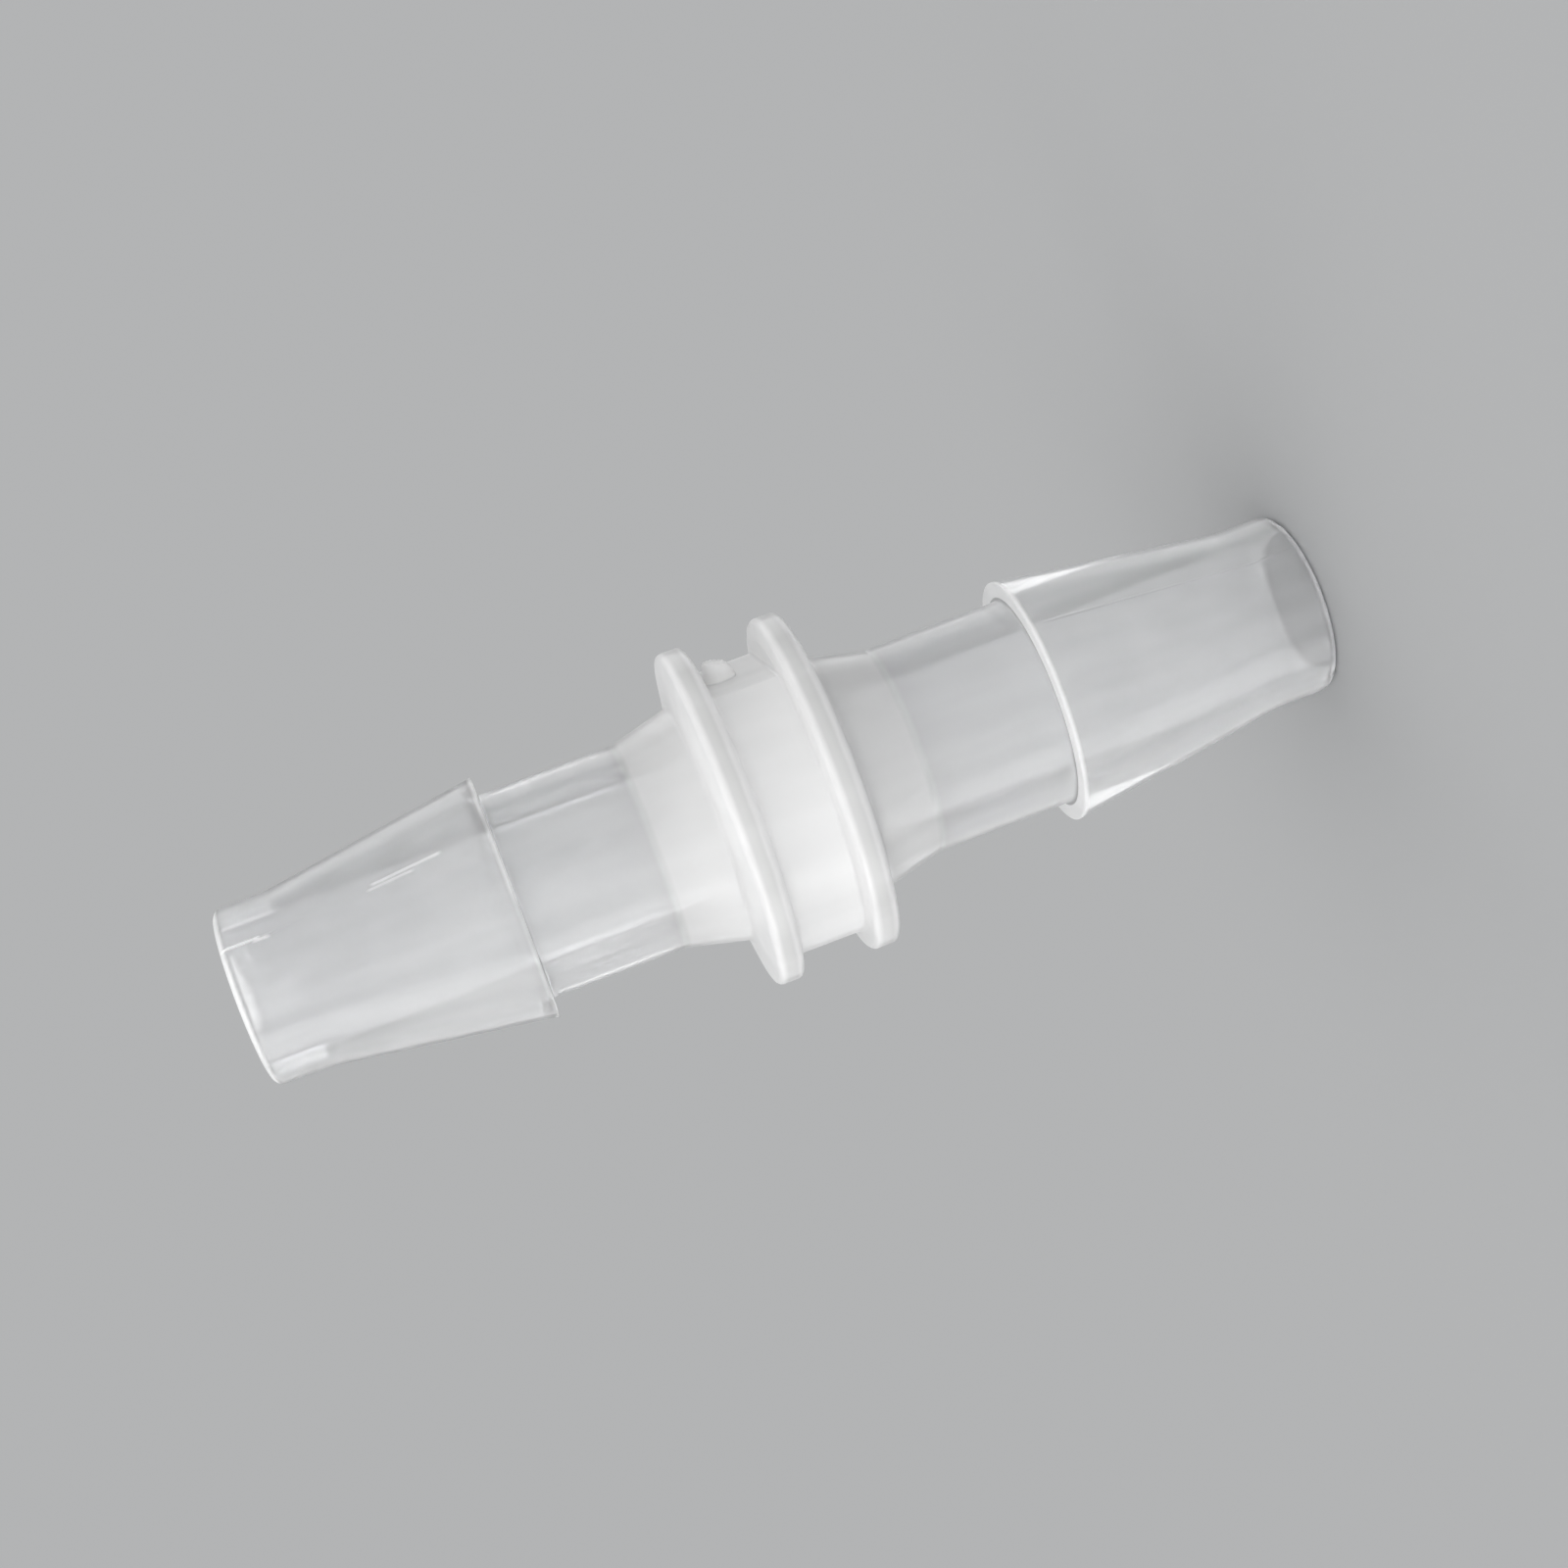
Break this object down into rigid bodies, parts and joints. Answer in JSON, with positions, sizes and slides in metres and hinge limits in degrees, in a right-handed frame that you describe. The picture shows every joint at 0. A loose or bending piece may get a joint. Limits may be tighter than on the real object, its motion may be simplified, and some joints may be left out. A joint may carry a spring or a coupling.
{
  "type": "straight hose barb connector",
  "caption": "Straight equal hose barb connector for 9.5 mm hose, with one barb at each end and a two-flange collar in the middle.",
  "frame": {"origin": "middle of the end face that the connector stands on", "axes": "+Z along the bore, up through the collar; +X through the gate flat on the drum"},
  "size_m": [0.0152, 0.0152, 0.0484],
  "materials": {
    "natural_polypropylene": "milky, slightly see-through moulded plastic with a satin shine"
  },
  "bodies": {
    "root": {"connector_body": "natural_polypropylene"}
  },
  "joints": []
}
